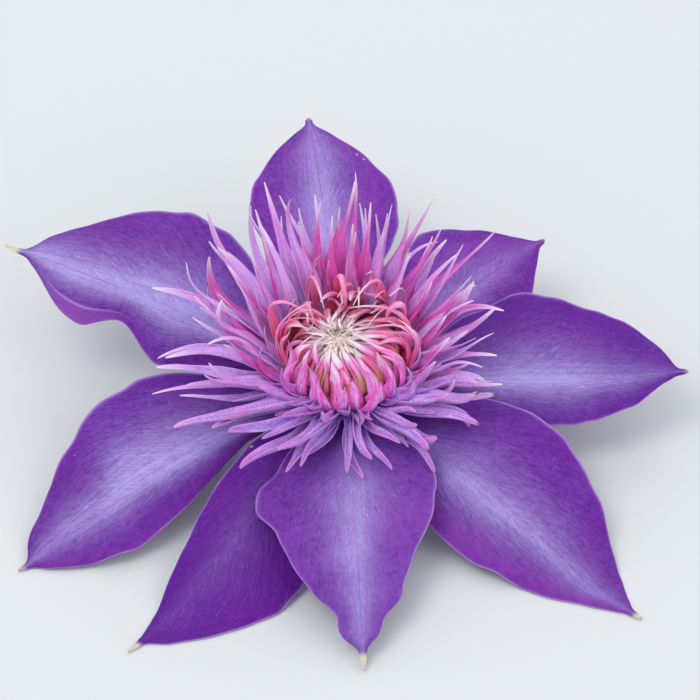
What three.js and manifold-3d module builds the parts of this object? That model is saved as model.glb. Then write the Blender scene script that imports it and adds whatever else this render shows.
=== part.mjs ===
// A double clematis flower, picked with a short stub of its stalk, lying face up.
// Millimetres, +Z up. The flower leans a little to -Y, and rests on the stub's cut end and on the tips of
// its front tepals. The origin is under the middle of its outline, on the surface that it lies on.
import * as THREE from "three";
import { mergeVertices } from "three/addons/utils/BufferGeometryUtils.js";
import Module from "manifold-3d";

const wasm = await Module();
wasm.setup();

// How the bloom lies: its own frame has its origin at the claws of the tepals, with +Z along its axis.
const LEAN = 8;
const CLAW_HEIGHT = 12;
const BLOOM_X = 0.5;
const BLOOM_Y = -3.1;

// The stalk's stub and the receptacle that widens from it, as radius and height along the bloom's axis.
const STALK_RADIUS = 1.5;
const RECEPTACLE_RADIUS = 4.5;
const RECEPTACLE_TOP = 0.6;
const STALK_PROFILE = [
  [0, -CLAW_HEIGHT - 2],
  [STALK_RADIUS, -CLAW_HEIGHT - 2],
  [STALK_RADIUS * 0.95, -7],
  [STALK_RADIUS * 1.1, -4.2],
  [STALK_RADIUS * 1.7, -2.6],
  [RECEPTACLE_RADIUS * 0.88, -1.6],
  [RECEPTACLE_RADIUS, -0.9],
  [RECEPTACLE_RADIUS, RECEPTACLE_TOP],
  [0, RECEPTACLE_TOP],
];
const ROUND_SIDES = 20;
const CLEARANCE = 0.3;

// Tepals: one outline for all, as half a width of 1 against the length, from claw to tip.
const CLAW_START = RECEPTACLE_RADIUS + CLEARANCE + 0.1;
const TEPAL_OUTLINE = [
  [0, 0.09],
  [0.1, 0.22],
  [0.25, 0.64],
  [0.4, 0.94],
  [0.5, 1],
  [0.62, 0.93],
  [0.76, 0.66],
  [0.88, 0.31],
  [0.95, 0.1],
  [1, 0.035],
];
const TEPAL_THICKNESS = 0.9;
const MARGIN_THICKNESS = 0.62;
const TEPAL_STEPS = 14;
const TEPAL_COLUMNS = [-1, -0.8, -0.55, -0.3, -0.12, 0, 0.12, 0.3, 0.55, 0.8, 1];
const CHANNEL_DEPTH = 0.3;
const RIB_HEIGHT = 0.3;
// How far to each side of the midline the channel and the rib reach, as a share of the half width.
const CHANNEL_REACH = 0.12;
const WAVES_ALONG = 1.6;
const WAVE_LAG = 2;

// left and right are the half widths on the two sides of the midline, and widest says how far out they lie.
// pitch is the rise of the midline above the bloom's plane, in degrees, at the claw, midway and at the tip.
// turn bends the midline sideways and roll leans the blade, in degrees; camber lets its margins fall, and
// height keeps the claws of neighbours that overlap apart. lobes says what the two half widths are multiplied
// by, as rows of a share of the length and a factor.
const EVEN = [[0, 1], [1, 1]];
const TEPALS = [
  {
    name: "tepal_right", azimuth: 9.1, length: 52.6, left: 19.1, right: 9.8, widest: [0.53, 0.58],
    height: -0.2, pitch: [-5, 1.8, 3.3], turn: -9.7, roll: 6, camber: [0.1, 0.1], wave: 0.6, phase: 0.1,
    lobes: [[[0, 1], [0.55, 1], [0.68, 0.93], [0.77, 1.03], [0.87, 1.3], [0.93, 1.5], [1, 1]], EVEN],
  },
  {
    name: "tepal_back_right", azimuth: 50, length: 45.8, left: 15.5, right: 10.9, widest: [0.68, 0.51],
    height: -0.4, pitch: [-6, 2.7, -9.1], turn: -5, roll: 5, camber: [0.1, 0.1], wave: 0.5, phase: 0.3,
  },
  {
    name: "tepal_back", azimuth: 94.8, length: 58.2, left: 12.7, right: 13.1, widest: [0.62, 0.6],
    height: 0.2, pitch: [6, 6.1, -10.4], turn: 2.2, roll: 0, camber: [0.1, 0.1], wave: 0.4, phase: 0.6,
  },
  {
    name: "tepal_back_left", azimuth: 152.5, length: 59.7, left: 8.2, right: 21.8, widest: [0.34, 0.55],
    height: 0.4, pitch: [5, 5.2, 1.2], turn: 3.1, roll: -4, camber: [0.25, 0.1], wave: 0.6, phase: 0.8,
    lobes: [
      [[0, 1], [0.36, 1], [0.44, 1.25], [0.5, 1.1], [0.59, 0.75], [0.66, 1.05], [0.74, 1.6], [0.82, 1.9], [1, 1]],
      EVEN,
    ],
  },
  {
    name: "tepal_left", azimuth: 206.6, length: 58.6, left: 8.6, right: 20.5, widest: [0.67, 0.44],
    height: -0.5, pitch: [-5, 0.5, -16.3], turn: 9.7, roll: -4, camber: [0.1, 0.1], wave: 0.4, phase: 0.2,
    lobes: [EVEN, [[0, 1], [0.75, 1], [0.86, 1.1], [0.93, 1.45], [1, 1]]],
  },
  {
    name: "tepal_front_left", azimuth: 243.4, length: 59.1, left: 14, right: 8.2, widest: [0.56, 0.34],
    height: -0.1, pitch: [-2, -1.7, -21.1], turn: -10.3, roll: -7, camber: [0.1, 0.1], wave: 0.3, phase: 0.5,
  },
  {
    name: "tepal_front", azimuth: 272.4, length: 52.5, left: 13, right: 14.5, widest: [0.34, 0.41],
    height: 0.6, pitch: [7, 2.5, -23.5], turn: 0.8, roll: 0, camber: [0.04, 0.04], wave: 0.3, phase: 0.9,
    lobes: [
      [[0, 1], [0.45, 1.05], [0.6, 1], [0.72, 1.08], [0.79, 1.25], [0.84, 1.06], [0.9, 1.35], [1, 0.8]],
      [[0, 1], [0.26, 0.93], [0.42, 1.09], [0.54, 0.94], [0.75, 0.92], [0.83, 0.73], [0.89, 1.08], [1, 0.8]],
    ],
  },
  {
    name: "tepal_front_right", azimuth: 316.8, length: 62.4, left: 17.3, right: 11, widest: [0.39, 0.44],
    height: 0, pitch: [-2, 0.7, -29.7], turn: -1.4, roll: 7, camber: [0.1, 0.1], wave: 0.4, phase: 0.4,
  },
];

// Staminodes, the narrow inner petals. Rows of three are values at the front, at the sides and at the back.
const BLADE_OUTLINE = [
  [0, 0.8],
  [0.4, 1],
  [0.66, 0.74],
  [0.86, 0.3],
  [1, 0.12],
];
const BLADE_THICKNESS = 0.8;
const TIP_THINNING = 0.45;

// The disc that the outer whorls grow from, as radius and height.
const DISC_RADIUS = 10.2;
const DISC_BOTTOM = RECEPTACLE_TOP + CLEARANCE;
const DISC_TOP = 3.6;
const DISC_PROFILE = [
  [0, DISC_BOTTOM],
  [3.6, DISC_BOTTOM],
  [8.8, 2.2],
  [DISC_RADIUS, 2.8],
  [DISC_RADIUS - 0.3, DISC_TOP - 0.1],
  [0, DISC_TOP],
];
const OUTER_WHORLS = [
  {
    count: 24, start: 4, radius: 8, height: 2.4, width: 3.1,
    length: [15.5, 20.5, 24], pitch: [5, 8, 20], bend: [2, 6, 10],
  },
  {
    count: 23, start: 12, radius: 8.2, height: 2.9, width: 3,
    length: [15, 21.5, 27], pitch: [10, 20, 36], bend: [2, 8, 8],
  },
  {
    count: 22, start: 2, radius: 8.4, height: 3, width: 2.8,
    length: [12.5, 20.5, 28], pitch: [16, 35, 50], bend: [6, 8, 4],
  },
  {
    count: 20, start: 9, radius: 8.8, height: 2.8, width: 2.5,
    length: [9, 17, 22.5], pitch: [30, 50, 62], bend: [14, 10, 2],
  },
];
const OUTER_STEPS = 4;
const OUTER_CUP = 0.25;
// An outer blade leaves the disc no steeper than this, and has its own pitch after a share of its length.
const LEAVING_PITCH = 28;
const LEAVING_SHARE = 0.22;
// The outer blades are longer towards the left than towards the right, and stand steeper at the back right.
const LONGER = 0.18;
const LONGER_TOWARDS = 215;
const STEEPER = 8;
const STEEPER_TOWARDS = 50;
// The whole span of what is drawn for each blade: sway as a share of the spacing, reach as one of the length,
// and the others in degrees.
const OUTER_SPAN = { sway: 0.5, reach: 0.24, tilt: 12, curl: 16, turn: 24, roll: 50 };

// The ring that the incurved inner whorls grow from, as radius and height.
const RING_BOTTOM = DISC_TOP + CLEARANCE;
const RING_PROFILE = [
  [4.1, RING_BOTTOM],
  [8.4, RING_BOTTOM],
  [8.7, RING_BOTTOM + 0.9],
  [8, RING_BOTTOM + 1.6],
  [4.6, RING_BOTTOM + 2],
  [4.1, RING_BOTTOM + 1.4],
  [4.1, RING_BOTTOM],
];
const INNER_WHORLS = [
  {
    count: 24, start: 0, radius: 7.7, height: 4.8, length: [12.3, 13.7, 15.7], width: 2.4,
    pitch: [[0, 15], [0.12, 36], [0.32, 85], [0.52, 118], [0.74, 150], [0.92, 175], [1, 180]],
  },
  {
    count: 18, start: 7, radius: 6.6, height: 5, length: [12.8, 13.8, 14.8], width: 2,
    pitch: [[0, 40], [0.12, 52], [0.31, 98], [0.5, 135], [0.73, 160], [0.93, 180], [1, 184]],
  },
  {
    count: 9, start: 3, radius: 5.4, height: 5.2, length: [10.4, 10.8, 11.4], width: 1.8,
    pitch: [[0, 55], [0.12, 62], [0.35, 106], [0.59, 139], [0.86, 164], [1, 172]],
  },
];

const INNER_STEPS = 6;
const INNER_CUP = 0.1;
const INNER_SPAN = { sway: 0.3, reach: 0.12, tilt: 20, turn: 14 };

// The carpels in the middle: a low mound with upright styles.
const CARPEL_MOUND = [
  [0, RING_BOTTOM],
  [3.5, RING_BOTTOM],
  [3.2, RING_BOTTOM + 1.4],
  [0, RING_BOTTOM + 2],
];
const STYLES = { count: 11, radius: 2.4, height: 4.6, length: 4, width: 1.1, cup: 0, roll: 0, steps: 2 };
const STYLE_PITCH = [82, 98];
const STYLE_SPAN = { reach: 0.2, turn: 30 };

const radians = THREE.MathUtils.degToRad;
const UPWARDS = new THREE.Vector3(0, 0, 1);

// A smooth curve through rows of place and value, read at a place.
function along(rows, place) {
  let i = 0;
  while (i < rows.length - 2 && place > rows[i + 1][0]) i += 1;
  const [x0, y0] = rows[i];
  const [x1, y1] = rows[i + 1];
  const before = rows[Math.max(i - 1, 0)];
  const after = rows[Math.min(i + 2, rows.length - 1)];
  const step = x1 - x0;
  const slope0 = ((y1 - before[1]) / (x1 - before[0])) * step;
  const slope1 = ((after[1] - y0) / (after[0] - x0)) * step;
  const s = Math.min(Math.max((place - x0) / step, 0), 1);
  const s2 = s * s;
  const s3 = s2 * s;
  const values = y0 * (2 * s3 - 3 * s2 + 1) + y1 * (3 * s2 - 2 * s3);
  return values + slope0 * (s3 - 2 * s2 + s) + slope1 * (s3 - s2);
}

// A value given at the front, at the sides and at the back, read at an azimuth.
function byBearing([front, side, back], azimuth) {
  const s = Math.sin(radians(azimuth));
  return side + ((back - front) / 2) * s + ((back + front) / 2 - side) * s * s;
}

// A number between 0 and 1 on each call, the same in every run.
function seededDraw(seed) {
  let state = seed;
  return () => {
    state = (state * 48271) % 2147483647;
    return state / 2147483647;
  };
}

// The frames along a strap's midline: its point, its sideways vector and the normal of its upper face. Each
// step is walked in smaller parts, so that the length of the midline stays true.
function midline(strap, steps) {
  const parts = 6;
  const heading = radians(strap.azimuth);
  const point = new THREE.Vector3(strap.radius, 0, strap.height).applyAxisAngle(UPWARDS, heading);
  const frames = [];
  for (let i = 0; i <= steps * parts; i += 1) {
    const t = i / (steps * parts);
    const aim = heading + radians(strap.turn) * t * (2 - t);
    const pitch = radians(strap.pitchAt(t));
    const ahead = new THREE.Vector3(Math.cos(pitch), 0, Math.sin(pitch)).applyAxisAngle(UPWARDS, aim);
    if (i % parts === 0) {
      const level = new THREE.Vector3(-Math.sin(aim), Math.cos(aim), 0);
      const side = level.clone().applyAxisAngle(ahead, radians(strap.roll) * strap.rollAt(t));
      frames.push({ t, point: point.clone(), side, up: ahead.clone().cross(side) });
    }
    point.addScaledVector(ahead, strap.length / (steps * parts));
  }
  return frames;
}

// What would reach under the surface that the flower lies on is flattened against it, or at a level above it.
const TABLE_NORMAL = new THREE.Vector3(0, Math.sin(radians(LEAN)), Math.cos(radians(LEAN)));
function restOnTable(point, level = 0) {
  const height = point.dot(TABLE_NORMAL) + CLAW_HEIGHT - level;
  if (height < 0) point.addScaledVector(TABLE_NORMAL, -height);
  return point;
}

// A closed mesh from rings of points, whose upper face runs from the right margin to the left one and whose
// lower face runs back. Both faces are split into triangles alike.
function geometryOfRings(rings) {
  const size = rings[0].length;
  const corners = [];
  const add = (a, b, c) => corners.push(a, b, c);
  for (let i = 0; i < rings.length - 1; i += 1) {
    for (let j = 0; j < size; j += 1) {
      const k = (j + 1) % size;
      const [a, b, c, d] = [rings[i][j], rings[i + 1][j], rings[i + 1][k], rings[i][k]];
      if (j < size / 2) {
        add(a, c, d);
        add(a, b, c);
      } else {
        add(a, b, d);
        add(b, c, d);
      }
    }
  }
  const root = rings[0];
  const tip = rings[rings.length - 1];
  for (let low = 0, high = size - 1; high - low > 1; low += 1, high -= 1) {
    add(root[low], root[low + 1], root[high]);
    add(tip[low], tip[high], tip[low + 1]);
    if (high - low > 2) {
      add(root[low + 1], root[high - 1], root[high]);
      add(tip[low + 1], tip[high], tip[high - 1]);
    }
  }
  const positions = new Float32Array(corners.length * 3);
  corners.forEach((p, i) => p.toArray(positions, i * 3));
  return new THREE.BufferGeometry().setAttribute("position", new THREE.BufferAttribute(positions, 3));
}

function solidOf(geometry) {
  const bare = new THREE.BufferGeometry().setAttribute("position", geometry.getAttribute("position"));
  if (geometry.index) bare.setIndex(geometry.index);
  const merged = mergeVertices(bare, 1e-4);
  const vertProperties = merged.getAttribute("position").array;
  const triVerts = new Uint32Array(merged.index.array);
  return new wasm.Manifold(new wasm.Mesh({ numProp: 3, vertProperties, triVerts }));
}

function geometryOfSolid(solid) {
  const { vertProperties, triVerts } = solid.getMesh();
  const geometry = new THREE.BufferGeometry();
  geometry.setAttribute("position", new THREE.BufferAttribute(vertProperties, 3));
  geometry.setIndex(new THREE.BufferAttribute(triVerts, 1));
  return geometry;
}

// A turned shape around the bloom's axis, from rows of radius and height.
function turned(profile) {
  const lathe = new THREE.LatheGeometry(profile.map(([r, z]) => new THREE.Vector2(r, z)), ROUND_SIDES);
  return lathe.rotateX(Math.PI / 2);
}

// Tepals
function tepalGeometry(tepal) {
  const [claw, middle, tip] = tepal.pitch;
  const pitchAt = (t) => claw * (1 - t) ** 2 + 2 * middle * t * (1 - t) + tip * t * t;
  const rollAt = (t) => Math.sin(Math.PI * t ** 0.7);
  const strap = { ...tepal, radius: CLAW_START, pitchAt, rollAt };
  const rings = midline(strap, TEPAL_STEPS).map(({ t, point, side, up }) => {
    const middlePart = Math.sin(Math.PI * t);
    const face = (sign) =>
      TEPAL_COLUMNS.map((q) => {
        const near = q > 0 ? 0 : 1;
        const stretch = Math.log(0.5) / Math.log(tepal.widest[near]);
        const lobe = tepal.lobes ? along(tepal.lobes[near], t) : 1;
        const half = (q > 0 ? tepal.left : tepal.right) * along(TEPAL_OUTLINE, t ** stretch) * lobe;
        const fall = -tepal.camber[near] * half * q * q;
        const swing = Math.sin(2 * Math.PI * (WAVES_ALONG * t + tepal.phase) + near * WAVE_LAG);
        const ripple = tepal.wave * q * q * middlePart * swing;
        const centre = Math.exp(-((q / CHANNEL_REACH) ** 2)) * middlePart;
        const thick = MARGIN_THICKNESS + (TEPAL_THICKNESS - MARGIN_THICKNESS) * (1 - q * q);
        const relief = sign > 0 ? -CHANNEL_DEPTH * centre : -RIB_HEIGHT * centre;
        const rise = fall + ripple + (sign * thick) / 2 + relief;
        const place = point.clone().addScaledVector(side, q * half).addScaledVector(up, rise);
        return restOnTable(place, sign > 0 ? thick : 0);
      });
    return [...face(1), ...face(-1).reverse()];
  });
  return geometryOfRings(rings);
}

// Staminodes
function bladeGeometry(blade) {
  const rings = midline({ rollAt: () => 1, ...blade }, blade.steps).map(({ t, point, side, up }) => {
    const half = (blade.width / 2) * along(BLADE_OUTLINE, t);
    const thick = (BLADE_THICKNESS / 2) * (1 - TIP_THINNING * t);
    const margin = blade.cup * half;
    const place = (across, rise) => point.clone().addScaledVector(side, across).addScaledVector(up, rise);
    return [place(-half, margin), place(0, thick), place(half, margin), place(0, -thick)];
  });
  return geometryOfRings(rings);
}

function outerBlades(draw) {
  const blades = [];
  for (const whorl of OUTER_WHORLS) {
    for (let i = 0; i < whorl.count; i += 1) {
      const [sway, reach, tilt, curl, bias] = [draw(), draw(), draw(), draw(), draw()].map((v) => v - 0.5);
      const azimuth = whorl.start + (360 / whorl.count) * (i + OUTER_SPAN.sway * sway);
      const steeper = STEEPER * Math.max(Math.cos(radians(azimuth - STEEPER_TOWARDS)), 0);
      const pitch = byBearing(whorl.pitch, azimuth) + OUTER_SPAN.tilt * tilt + steeper;
      const bend = byBearing(whorl.bend, azimuth) + OUTER_SPAN.curl * curl;
      const rise = [[0, Math.min(pitch, LEAVING_PITCH)], [LEAVING_SHARE, pitch], [1, pitch + bend]];
      const longer = 1 + LONGER * Math.cos(radians(azimuth - LONGER_TOWARDS));
      blades.push({
        azimuth,
        radius: whorl.radius,
        height: whorl.height,
        length: byBearing(whorl.length, azimuth) * (1 + OUTER_SPAN.reach * reach) * longer,
        width: whorl.width,
        steps: OUTER_STEPS,
        cup: OUTER_CUP,
        turn: OUTER_SPAN.turn * bias,
        roll: OUTER_SPAN.roll * bias,
        pitchAt: (t) => along(rise, t),
      });
    }
  }
  return blades;
}

function innerBlades(draw) {
  const blades = [];
  for (const whorl of INNER_WHORLS) {
    for (let i = 0; i < whorl.count; i += 1) {
      const [sway, reach, tilt, bias] = [draw(), draw(), draw(), draw()].map((v) => v - 0.5);
      const azimuth = whorl.start + (360 / whorl.count) * (i + INNER_SPAN.sway * sway);
      blades.push({
        azimuth,
        radius: whorl.radius,
        height: whorl.height,
        length: byBearing(whorl.length, azimuth) * (1 + INNER_SPAN.reach * reach),
        width: whorl.width,
        steps: INNER_STEPS,
        cup: INNER_CUP,
        turn: INNER_SPAN.turn * bias,
        roll: 0,
        pitchAt: (t) => along(whorl.pitch, t) + INNER_SPAN.tilt * tilt * t,
      });
    }
  }
  return blades;
}

function styles(draw) {
  const made = [];
  const [foot, top] = STYLE_PITCH;
  for (let i = 0; i < STYLES.count; i += 1) {
    const [sway, reach] = [draw(), draw()].map((v) => v - 0.5);
    made.push({
      ...STYLES,
      azimuth: (360 / STYLES.count) * i,
      length: STYLES.length * (1 + STYLE_SPAN.reach * reach),
      turn: STYLE_SPAN.turn * sway,
      pitchAt: (t) => foot + (top - foot) * t,
    });
  }
  return made;
}

// Blades fused with what they grow from, as one body.
function fused(core, blades) {
  const solids = blades.map((blade) => solidOf(bladeGeometry(blade)));
  return geometryOfSolid(wasm.Manifold.union([solidOf(core), ...solids]));
}

function coloured(name, geometry, color, roughness) {
  geometry.computeVertexNormals();
  const mesh = new THREE.Mesh(geometry, new THREE.MeshStandardMaterial({ color, roughness, metalness: 0 }));
  mesh.name = name;
  return mesh;
}

const bloom = new THREE.Group();
bloom.position.set(BLOOM_X, BLOOM_Y, CLAW_HEIGHT);
bloom.rotation.x = radians(LEAN);

for (const tepal of TEPALS) bloom.add(coloured(tepal.name, tepalGeometry(tepal), 0x5a2bb0, 0.6));

const stalk = turned(STALK_PROFILE);
const places = stalk.getAttribute("position");
for (let i = 0; i < places.count; i += 1) {
  const point = restOnTable(new THREE.Vector3().fromBufferAttribute(places, i));
  places.setXYZ(i, point.x, point.y, point.z);
}
bloom.add(coloured("stalk", stalk, 0x6f7f3a, 0.7));

const outer = fused(turned(DISC_PROFILE), outerBlades(seededDraw(17)));
bloom.add(coloured("outer_staminodes", outer, 0xb565c8, 0.6));
const inner = fused(turned(RING_PROFILE), innerBlades(seededDraw(29)));
bloom.add(coloured("inner_staminodes", inner, 0xd6559a, 0.6));
const carpels = fused(turned(CARPEL_MOUND), styles(seededDraw(41)));
bloom.add(coloured("carpels", carpels, 0xb59a5a, 0.7));

const flower = new THREE.Group();
flower.add(bloom);
export default flower;
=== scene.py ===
"""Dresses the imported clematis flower: finer tepals, staminodes, carpels and stalk, with their finishes.

Sizes are in millimetres inside this file, in the bloom's own frame, and become metres in the frame that the
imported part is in. The bloom's frame has its origin at the claws of the tepals and +Z along the bloom's axis.
"""

from math import atan2, copysign, cos, degrees, exp, hypot, log, pi, radians, sin, sqrt, tau

import bmesh
import bpy
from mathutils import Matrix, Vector


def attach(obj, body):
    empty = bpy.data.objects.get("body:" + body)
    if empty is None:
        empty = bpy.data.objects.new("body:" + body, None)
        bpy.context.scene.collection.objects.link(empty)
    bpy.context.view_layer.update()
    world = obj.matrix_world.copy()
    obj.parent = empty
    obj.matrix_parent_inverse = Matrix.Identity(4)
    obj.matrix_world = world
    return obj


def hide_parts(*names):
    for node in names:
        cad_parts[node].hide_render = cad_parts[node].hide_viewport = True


bl_info = {
    "name": "Clematis Flower",
    "version": (1, 0, 0),
    "blender": (4, 5, 0),
    "location": "View3D > Sidebar > Flower",
    "description": "Builds a double clematis flower round its packed solids",
    "category": "Add Mesh",
}

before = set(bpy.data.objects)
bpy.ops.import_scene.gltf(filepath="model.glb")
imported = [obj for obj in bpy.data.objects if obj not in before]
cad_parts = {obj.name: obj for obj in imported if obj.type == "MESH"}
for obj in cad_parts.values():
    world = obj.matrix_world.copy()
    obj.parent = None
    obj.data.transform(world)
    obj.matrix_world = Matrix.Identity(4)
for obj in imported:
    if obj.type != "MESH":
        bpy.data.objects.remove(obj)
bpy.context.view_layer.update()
BODY = "root"
MM = 0.001

# How the bloom lies, as in the solids.
LEAN = radians(8)
CLAW_HEIGHT = 12.0
BLOOM_X = 0.5
BLOOM_Y = -3.1
TABLE_NORMAL = Vector((0, sin(LEAN), cos(LEAN)))

# The photograph's view: the camera's rise above the horizon, its distance, and where the bloom's origin
# stands in the picture, at how many of its pixels to the millimetre.
VIEW_RISE = radians(40)
VIEW_DISTANCE = 600.0
PICTURE_SIDE = 700
BLOOM_PIXEL = (346, 385)
PIXELS_PER_MM = 6.0
SENSOR = 36.0
# The point that the lights are aimed at, in metres.
LIT_POINT = Vector((0, 0, 0.02))

# Each tepal of the solids. left and right are the half widths on the two sides of the midline, widest says
# how far out they lie, and lobes changes them along the length. pitch is the midline's rise at the claw,
# midway and at the tip. lip is where the left margin is rolled under. depth makes the violet deeper or
# lighter, warmth turns it from blue to magenta, rosy warms one side, and haze pales it all. bar, shift,
# spread and lasting are the pale bar's strength, its place across, its width and how far it lasts towards
# the tip. The slender nib starts at nib, and cream is how pale it is.
EVEN = [(0, 1), (1, 1)]
PLAIN_TEPAL = dict(camber=(0.1, 0.1), haze=0, rosy=0, shift=0, spread=0.5, lasting=0)
TEPALS = [
    dict(
        name="tepal_right", azimuth=9.1, length=52.6, left=19.1, right=9.8, widest=(0.53, 0.58),
        height=-0.2, pitch=(-5, 1.8, 3.3), turn=-9.7, roll=6, wave=0.6, phase=0.1, depth=1.2, warmth=0.3,
        bar=0.85, shift=-0.14, spread=0.46, nib=0.99, cream=0.5,
        lobes=([(0, 1), (0.55, 1), (0.68, 0.93), (0.77, 1.03), (0.87, 1.3), (0.93, 1.5), (1, 1)], EVEN),
    ),
    dict(
        name="tepal_back_right", azimuth=50, length=45.8, left=15.5, right=10.9, widest=(0.68, 0.51),
        height=-0.4, pitch=(-6, 2.7, -9.1), turn=-5, roll=5, wave=0.5, phase=0.3, depth=0.7, warmth=0.6,
        bar=0.5, spread=0.42, nib=0.99, cream=0.4,
    ),
    dict(
        name="tepal_back", azimuth=94.8, length=58.2, left=12.7, right=13.1, widest=(0.62, 0.6), height=0.2,
        pitch=(6, 6.1, -10.4), turn=2.2, roll=0, wave=0.4, phase=0.6, depth=0.62, warmth=0.6, bar=0.75,
        spread=0.4, lasting=0.7, nib=0.99, cream=0.5,
    ),
    dict(
        name="tepal_back_left", azimuth=152.5, length=59.7, left=8.2, right=21.8, widest=(0.34, 0.55),
        height=0.4, pitch=(5, 5.2, 1.2), turn=3.1, roll=-4, camber=(0.25, 0.1), wave=0.6, phase=0.8,
        depth=0.75, warmth=0.5, bar=1.1, shift=0.05, spread=0.46, lasting=1, nib=0.955, cream=0.9,
        lip=(0.56, 0.92),
        lobes=(
            [
                (0, 1), (0.36, 1), (0.44, 1.25), (0.5, 1.1), (0.59, 0.75), (0.66, 1.05), (0.74, 1.6),
                (0.82, 1.9), (1, 1),
            ],
            EVEN,
        ),
    ),
    dict(
        name="tepal_left", azimuth=206.6, length=58.6, left=8.6, right=20.5, widest=(0.67, 0.44),
        height=-0.5, pitch=(-5, 0.5, -16.3), turn=9.7, roll=-4, wave=0.4, phase=0.2, depth=0.72, warmth=0.4,
        bar=0.9, shift=-0.08, rosy=0.6, spread=0.44, lasting=0.5, nib=0.98, cream=0.5,
        lobes=(EVEN, [(0, 1), (0.75, 1), (0.86, 1.1), (0.93, 1.45), (1, 1)]),
    ),
    dict(
        name="tepal_front_left", azimuth=243.4, length=59.1, left=14, right=8.2, widest=(0.56, 0.34),
        height=-0.1, pitch=(-2, -1.7, -21.1), turn=-10.3, roll=-7, wave=0.3, phase=0.5, depth=1.2,
        warmth=0.4, bar=0.12, nib=0.957, cream=0.8,
    ),
    dict(
        name="tepal_front", azimuth=272.4, length=52.5, left=13, right=14.5, widest=(0.34, 0.41),
        height=0.6, pitch=(7, 2.5, -23.5), turn=0.8, roll=0, camber=(0.04, 0.04), wave=0.3, phase=0.9,
        depth=0.42, warmth=0.6, bar=0.62, haze=0.05, spread=0.4, lasting=1, nib=0.95, cream=0.95,
        lobes=(
            [
                (0, 1), (0.45, 1.05), (0.6, 1), (0.72, 1.08), (0.79, 1.25), (0.84, 1.06), (0.9, 1.35),
                (1, 0.8),
            ],
            [
                (0, 1), (0.26, 0.93), (0.42, 1.09), (0.54, 0.94), (0.75, 0.92), (0.83, 0.73), (0.89, 1.08),
                (1, 0.8),
            ],
        ),
    ),
    dict(
        name="tepal_front_right", azimuth=316.8, length=62.4, left=17.3, right=11, widest=(0.39, 0.44),
        height=0, pitch=(-2, 0.7, -29.7), turn=-1.4, roll=7, wave=0.4, phase=0.4, depth=0.85, warmth=0.45,
        bar=0.65, shift=-0.1, rosy=-0.9, spread=0.46, lasting=0.5, nib=0.974, cream=0.8,
    ),
]
CLAW_START = 4.9
CLAW_BURIED = 0.8
TEPAL_OUTLINE = [
    (0, 0.09), (0.1, 0.22), (0.25, 0.64), (0.4, 0.94), (0.5, 1),
    (0.62, 0.93), (0.76, 0.66), (0.88, 0.31), (0.95, 0.1), (1, 0.035),
]
TEPAL_ROWS = 110
TEPAL_COLUMNS = 44

# The nib's half width, the share of it that goes towards the point, and the share of a tepal's length in
# which the tepal narrows to it.
SLENDER_TIP = 0.65
NIB_TAPER = 0.75
NIB_START = 0.05
# How many waves of each kind lie along a tepal: in its outline, across its blade, in its ruffled margin, and
# in how strong the ruffles are.
OUTLINE_WAVES = (4.3, 9.7)
RIPPLES = 1.6
RUFFLES = 6.1
FITS = 1.7
# The relief on a tepal: the widths of its channels are shares of its half width, and its keel's height and
# how far it is sunk into the solid's thickness are in millimetres.
CHANNEL_WIDTH = 0.055
SIDE_VEIN = 0.17
SIDE_VEIN_WIDTH = 0.035
VEIN_SLANT = 2.2
QUILTS = 15
KEEL_HEIGHT = 0.35
KEEL_WIDTH = 0.3
SUNK = 0.3
# The rolled lip: how far it bends down, and the share of the half width where it starts and is bent full.
LIP_FALL = 3
LIP_EDGES = (0.74, 0.96)

# Half widths along the finer blades: thread-tipped, strap-like, hooded, whisker-like, fully hooded, hooked
# and thread-like.
LANCE = [(0, 0.7), (0.2, 1), (0.36, 1), (0.5, 0.8), (0.64, 0.48), (0.77, 0.25), (0.9, 0.15), (1, 0.05)]
STRAP = [(0, 0.8), (0.25, 0.95), (0.5, 1), (0.72, 0.92), (0.86, 0.72), (0.95, 0.5), (1, 0.22)]
HOOD = [(0, 0.9), (0.12, 1.1), (0.3, 1.15), (0.45, 1), (0.6, 0.72), (0.75, 0.4), (0.88, 0.2), (1, 0.06)]
WHISKER = [(0, 0.9), (0.12, 1.05), (0.3, 1), (0.45, 0.72), (0.6, 0.42), (0.75, 0.28), (0.88, 0.2), (1, 0.08)]
FULL_HOOD = [
    (0, 0.9), (0.12, 1.05), (0.3, 1.05), (0.5, 0.98), (0.68, 0.8), (0.82, 0.5), (0.92, 0.26), (1, 0.08),
]
HOOK = [(0, 0.8), (0.25, 1), (0.45, 0.85), (0.65, 0.5), (0.82, 0.26), (1, 0.06)]
THREAD = [(0, 0.8), (0.3, 1), (0.6, 0.85), (0.85, 0.62), (1, 0.3)]
BLADE_FRAMES = 60
# Lumps in a blade's margins: their depth, and how they follow its length and its own draw.
LUMP_DEPTH = 0.12
LUMP_RATE = 17
LUMP_SHIFT = 40

# The whorls of outer blades, as in the solids. Rows of three are values at the front, sides and back.
OUTER_WHORLS = [
    dict(count=24, start=4, radius=8, height=2.4, width=3.1, length=(15.5, 20.5, 24), pitch=(5, 8, 20),
         bend=(2, 6, 10), pink=0.05),
    dict(count=23, start=12, radius=8.2, height=2.9, width=3, length=(15, 21.5, 27), pitch=(10, 20, 36),
         bend=(2, 8, 8), pink=0.3),
    dict(count=22, start=2, radius=8.4, height=3, width=2.8, length=(12.5, 20.5, 28), pitch=(16, 35, 50),
         bend=(6, 8, 4), pink=0.55),
    dict(count=20, start=9, radius=8.8, height=2.8, width=2.5, length=(9, 17, 22.5), pitch=(30, 50, 62),
         bend=(14, 10, 2), pink=0.85),
]
# The outer blades are longer towards one azimuth and steeper towards another. They leave the disc at no more
# than a set pitch, and reach their own after a share of their length.
LONGER = 0.18
LONGER_TOWARDS = 215
STEEPER = 8
STEEPER_TOWARDS = 50
LEAVING_PITCH = 28
LEAVING_SHARE = 0.22
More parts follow.
